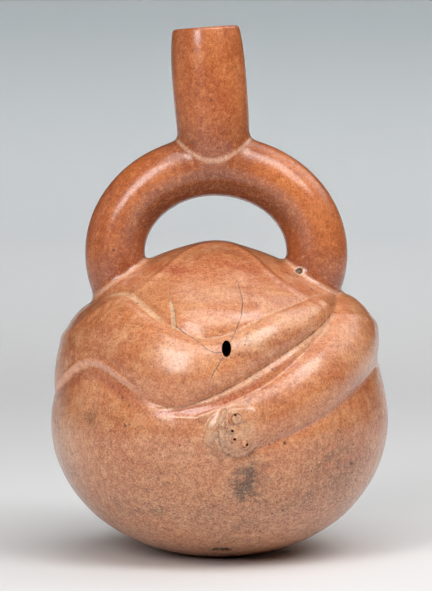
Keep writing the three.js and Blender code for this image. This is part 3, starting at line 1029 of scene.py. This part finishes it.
# %% Grain and specks
grain = noise(2.6, 8, 0.85)
fine = noise(0.8, 3, 0.8)
strength = plus(0.72, times(on_body_mask, -0.08), times(low_down, on_body_mask, 0.22))
pale_grain = layer((236, 168, 112), (244, 194, 144), on_body_mask)
paint((112, 58, 34), times(spread(grain, 0.5, 0.62, 0, 0.6), strength))
paint(pale_grain, times(spread(grain, 0.5, 0.38, 0, 0.45), strength))
paint((104, 56, 36), times(spread(fine, 0.5, 0.66, 0, 0.7), strength))
paint(pale_grain, times(spread(fine, 0.5, 0.34, 0, 0.4), strength))
room = spread(noise(15, 3), 0.4, 0.62, 0.15, 1.0)
dark_dots = times(maths("MAXIMUM", dots(2.6, 0.35, 0.1, 0.22), dots(5.5, 0.4, 0.06, 0.16)), room)
paint((74, 50, 40), times(dark_dots, 0.8))
light_dots = times(dots(3.2, 0.25, 0.08, 0.16), spread(noise(12, 3), 0.42, 0.6, 0.1, 1.0))
paint((246, 208, 176), times(light_dots, 0.6))
print("grain:", len(coats), "coats")

# %% Gloss and fine height
matt = plus(times(crown_lime, 0.3), times(fold, 0.15), times(low_down, 0.14), times(dark_dots, 0.2))
gloss = plus(spread(noise(7, 5, 0.65), 0.3, 0.7, 0.28, 0.38), times(spread(grain, 0.4, 0.6), 0.06), matt)
height_mm = plus(times(grain, 0.05), times(fine, 0.012), times(noise(4.5, 3, 0.6), 0.1), times(strokes, 0.08))
height_mm = plus(height_mm, times(stored("flaky"), spread(noise(1.8, 4, 0.7), 0.45, 0.55), 0.4))
height_mm = plus(height_mm, times(dark_dots, -0.12), times(crack_line, -0.2), times(scar, -0.35))
height_mm = plus(height_mm, times(crown_lime, -0.1), times(fold_dark, -0.2), times(patchy, fold, 0.12))
bump = node("Bump", {"Height": height_mm, "Distance": 0.001, "Strength": 1.0}).outputs[0]
print("gloss and height:", len(coats), "coats")

# %% Shader and output
shader = node("BsdfPrincipled", {"Base Color": coats[-1], "Roughness": gloss, "Normal": bump})
shader.inputs["Specular IOR Level"].default_value = 0.4
shader.inputs["Coat Weight"].default_value = 0.8
shader.inputs["Coat Roughness"].default_value = 0.18
tree.links.new(shader.outputs[0], node("OutputMaterial").inputs["Surface"])
vessel.data.materials.clear()
vessel.data.materials.append(material)
vessel.data.polygons.foreach_set("material_index", np.zeros(len(vessel.data.polygons), np.int32))
vessel.data.polygons.foreach_set("use_smooth", np.ones(len(vessel.data.polygons), bool))
vessel.data.update()

# %% The piece stands for the solid part
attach(vessel, "root")
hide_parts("vessel")
print(vessel.name, len(vessel.data.polygons), "faces")

# %% [markdown]
# ## Studio
#
# A sweep of pale paper, soft boxes in front, above, behind and at both sides, and a lamp for the paper.
# The long lens looks down a little from just under the height of the rim, so the spout's mouth is seen
# edge-on and the body shows a little of its top.


# %% Paper sweep
def paper_sweep():
    """A sheet that lies flat under the vessel and then rises a little: height = rise * ((y - flat) / run)^2.

    It stays so low that the vessel can be seen over it from behind.
    """
    flat, run, rise, reach = 700.0, 1150.0, 300.0, 5000.0
    y = np.concatenate([[-reach], np.linspace(flat, flat + run, 24)])
    z = rise * (np.maximum(y - flat, 0) / run) ** 2
    x = np.array([-reach, reach])
    grid = np.stack([x[:, None] + 0 * y, y + 0 * x[:, None], z + 0 * x[:, None]], -1).reshape(-1, 3)
    i = np.arange(len(y) - 1)
    faces = np.stack([i, i + len(y), i + len(y) + 1, i + 1], -1)
    return new_object("paper", grid, faces.tolist())


paper = paper_sweep()
paper.data.polygons.foreach_set("use_smooth", np.ones(len(paper.data.polygons), bool))
paper_finish = bpy.data.materials.new("paper_painted_falloff")
paper_finish.use_nodes = True
paper.data.materials.append(paper_finish)
sheet = paper_finish.node_tree.nodes["Principled BSDF"]
sheet.inputs["Roughness"].default_value = 0.9
place = paper_finish.node_tree.nodes.new("ShaderNodeTexCoord")
height_of_paper = paper_finish.node_tree.nodes.new("ShaderNodeSeparateXYZ")
painted_falloff = paper_finish.node_tree.nodes.new("ShaderNodeValToRGB")
# The paper's colour darkens upwards from the floor: painted shade standing in for the light falling off up
# the sweep.
for at, colour in ((0.0, (0.82, 0.82, 0.82)), (0.07, (0.63, 0.65, 0.66)), (0.25, (0.55, 0.60, 0.62))):
    stop = painted_falloff.color_ramp.elements.new(at)
    stop.color = (*colour, 1.0)
painted_falloff.color_ramp.elements.remove(painted_falloff.color_ramp.elements[-1])
painted_falloff.color_ramp.elements.remove(painted_falloff.color_ramp.elements[0])
links = paper_finish.node_tree.links
links.new(place.outputs["Object"], height_of_paper.inputs[0])
links.new(height_of_paper.outputs["Z"], painted_falloff.inputs["Fac"])
links.new(painted_falloff.outputs["Color"], sheet.inputs["Base Color"])


# %% Soft boxes
def soft_box(name, place, aim, width, height, watts, spread_angle=180):
    """A rectangular light at a place, facing its aim; the angle says how wide it spreads."""
    data = bpy.data.lights.new(name, "AREA")
    data.shape, data.size, data.size_y, data.energy = "RECTANGLE", width, height, watts
    data.spread = np.radians(spread_angle)
    made = bpy.data.objects.new(name, data)
    bpy.context.scene.collection.objects.link(made)
    made.location = place
    made.rotation_euler = Vector(np.subtract(place, aim)).to_track_quat("Z", "Y").to_euler()


MIDDLE = np.array([0, 0, 0.11])
BOXES = {  # turn and lift as seen from the vessel, metres away, width, height, watts
    "left_box": (-30, 29, 1.5, 0.45, 0.8, 9.5),
    "right_box": (48, 48, 1.5, 0.6, 0.8, 9),
    "top_box": (-3, 62, 1.5, 1.2, 0.9, 10.5),
    "left_wall": (-95, 20, 1.6, 1.0, 1.0, 1.0),
    "right_wall": (112, 47, 1.6, 1.2, 1.2, 6.5),
    "back_box": (180, 66, 1.5, 0.9, 0.9, 2.2),
}
for name, (side, rise, away, *face_and_watts) in BOXES.items():
    soft_box(name, MIDDLE + away * direction_of(side, rise), MIDDLE, *face_and_watts)
soft_box("paper_box", (0, 2.6, 1.5), (0, 1.45, 0.1), 1.6, 0.4, 2.4, 28)
world = bpy.data.worlds.new("studio")
world.use_nodes = True
world.node_tree.nodes["Background"].inputs["Color"].default_value = (0.9, 0.95, 1.0, 1)
world.node_tree.nodes["Background"].inputs["Strength"].default_value = 0.01
bpy.context.scene.world = world
bpy.context.scene.view_settings.view_transform = "Standard"

# %% Camera
lens_data = bpy.data.cameras.new("camera")
lens_data.lens, lens_data.sensor_width = 186.15, 36.0
AWAY, EYE_HEIGHT, LOOKS_DOWN = 1.3, 0.205, 0.095  # metres; it looks down that much over the distance
camera = bpy.data.objects.new("camera", lens_data)
camera.location = (-0.0015, -AWAY, EYE_HEIGHT)
camera.rotation_euler = (np.arctan2(AWAY, LOOKS_DOWN), 0, 0)
bpy.context.scene.collection.objects.link(camera)
bpy.context.scene.camera = camera
